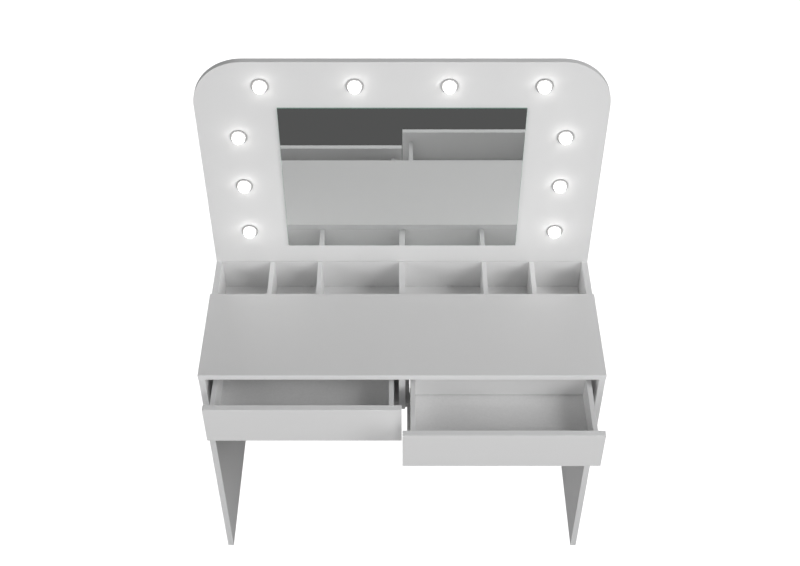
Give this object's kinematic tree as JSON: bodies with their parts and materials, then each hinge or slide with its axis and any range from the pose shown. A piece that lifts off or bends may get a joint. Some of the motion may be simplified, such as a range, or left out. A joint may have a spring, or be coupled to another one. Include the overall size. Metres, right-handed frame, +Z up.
{
  "type": "vanity table with lit mirror",
  "caption": "White panel-leg vanity table with a lit mirror panel, an open organiser trough behind the tabletop and handleless drawers on roller slides.",
  "frame": {"origin": "on the floor, at the middle of the model's footprint with the drawers open as stored", "axes": "+X to the right seen from the front, +Y from the drawers towards the mirror, +Z up"},
  "size_m": [1, 0.605, 1.3775],
  "materials": {
    "white_board": "white melamine-faced chipboard, fine satin texture, white edge banding",
    "hardboard": "thin fibreboard, white lacquered face",
    "mirror_glass": "silvered float glass with fine arrised edges",
    "opal_dome": "opal diffuser, lit from inside",
    "lamp_bezel": "grey moulded plastic",
    "led_board": "white coated circuit board",
    "cable_sheath": "white PVC sheath",
    "black_plastic": "moulded socket body",
    "grey_plastic": "moulded nylon",
    "nylon": "natural nylon",
    "white_steel": "white epoxy-coated folded sheet steel",
    "zinc_steel": "bright zinc plate",
    "beech": "fluted beech dowel"
  },
  "bodies": {
    "root": {"case_cam_fittings": "zinc_steel", "case_dowels": "beech", "case_rail_left_inner": "white_steel", "case_rail_left_outer": "white_steel", "case_rail_right_inner": "white_steel", "case_rail_right_outer": "white_steel", "case_screws": "zinc_steel", "centre_partition": "white_board", "divider_centre": "white_board", "divider_inner_left": "white_board", "divider_inner_right": "white_board", "divider_outer_left": "white_board", "divider_outer_right": "white_board", "foot_glides": "grey_plastic", "joining_plates": "zinc_steel", "lamp_dome_01": "opal_dome", "lamp_dome_02": "opal_dome", "lamp_dome_03": "opal_dome", "lamp_dome_04": "opal_dome", "lamp_dome_05": "opal_dome", "lamp_dome_06": "opal_dome", "lamp_dome_07": "opal_dome", "lamp_dome_08": "opal_dome", "lamp_dome_09": "opal_dome", "lamp_dome_10": "opal_dome", "lamp_housings": "lamp_bezel", "lamp_led_discs": "led_board", "mirror_glass": "mirror_glass", "mirror_panel": "white_board", "mirror_rear_cover": "hardboard", "organiser_floor": "white_board", "organiser_front_wall": "white_board", "power_inlet": "black_plastic", "rear_panel": "white_board", "side_panel_left": "white_board", "side_panel_right": "white_board", "tabletop": "white_board", "wiring_harness": "cable_sheath"},
    "drawer_left": {"drawer_left_back": "white_board", "drawer_left_bottom": "hardboard", "drawer_left_cam_fittings": "zinc_steel", "drawer_left_front": "white_board", "drawer_left_inner_side": "white_board", "drawer_left_outer_side": "white_board", "drawer_left_runner_inner": "white_steel", "drawer_left_runner_outer": "white_steel", "drawer_left_screws": "zinc_steel"},
    "drawer_rollers_left": {"drawer_left_rollers": "nylon"},
    "case_rollers_left": {"case_rollers_left": "nylon"},
    "drawer_right": {"drawer_right_back": "white_board", "drawer_right_bottom": "hardboard", "drawer_right_cam_fittings": "zinc_steel", "drawer_right_front": "white_board", "drawer_right_inner_side": "white_board", "drawer_right_outer_side": "white_board", "drawer_right_runner_inner": "white_steel", "drawer_right_runner_outer": "white_steel", "drawer_right_screws": "zinc_steel"},
    "drawer_rollers_right": {"drawer_right_rollers": "nylon"},
    "case_rollers_right": {"case_rollers_right": "nylon"}
  },
  "joints": [
    {"name": "drawer_left_slide", "type": "slide", "parent": "root", "child": "drawer_left", "axis": [0, -1, 0], "range_m": [-0.093, 0.08]},
    {"name": "case_rollers_left_spin", "type": "hinge", "parent": "root", "child": "case_rollers_left", "pos_m": [0, -0.1065, 0.6156], "axis": [1, 0, 0], "range_deg": [-763, 656]},
    {"name": "drawer_rollers_left_spin", "type": "hinge", "parent": "drawer_left", "child": "drawer_rollers_left", "pos_m": [0, -0.0115, 0.6156], "axis": [1, 0, 0], "range_deg": [-763, 656]},
    {"name": "drawer_right_slide", "type": "slide", "parent": "root", "child": "drawer_right", "axis": [0, -1, 0], "range_m": [-0.17, 0.003]},
    {"name": "case_rollers_right_spin", "type": "hinge", "parent": "root", "child": "case_rollers_right", "pos_m": [0, -0.1065, 0.6156], "axis": [1, 0, 0], "range_deg": [-1393, 26]},
    {"name": "drawer_rollers_right_spin", "type": "hinge", "parent": "drawer_right", "child": "drawer_rollers_right", "pos_m": [0, -0.0885, 0.6156], "axis": [1, 0, 0], "range_deg": [-1393, 26]}
  ],
  "couplings": [
    {"joint": "case_rollers_left_spin", "follows": "drawer_left_slide", "rad_per_m": 142.86},
    {"joint": "drawer_rollers_left_spin", "follows": "drawer_left_slide", "rad_per_m": 142.86},
    {"joint": "case_rollers_right_spin", "follows": "drawer_right_slide", "rad_per_m": 142.86},
    {"joint": "drawer_rollers_right_spin", "follows": "drawer_right_slide", "rad_per_m": 142.86}
  ]
}
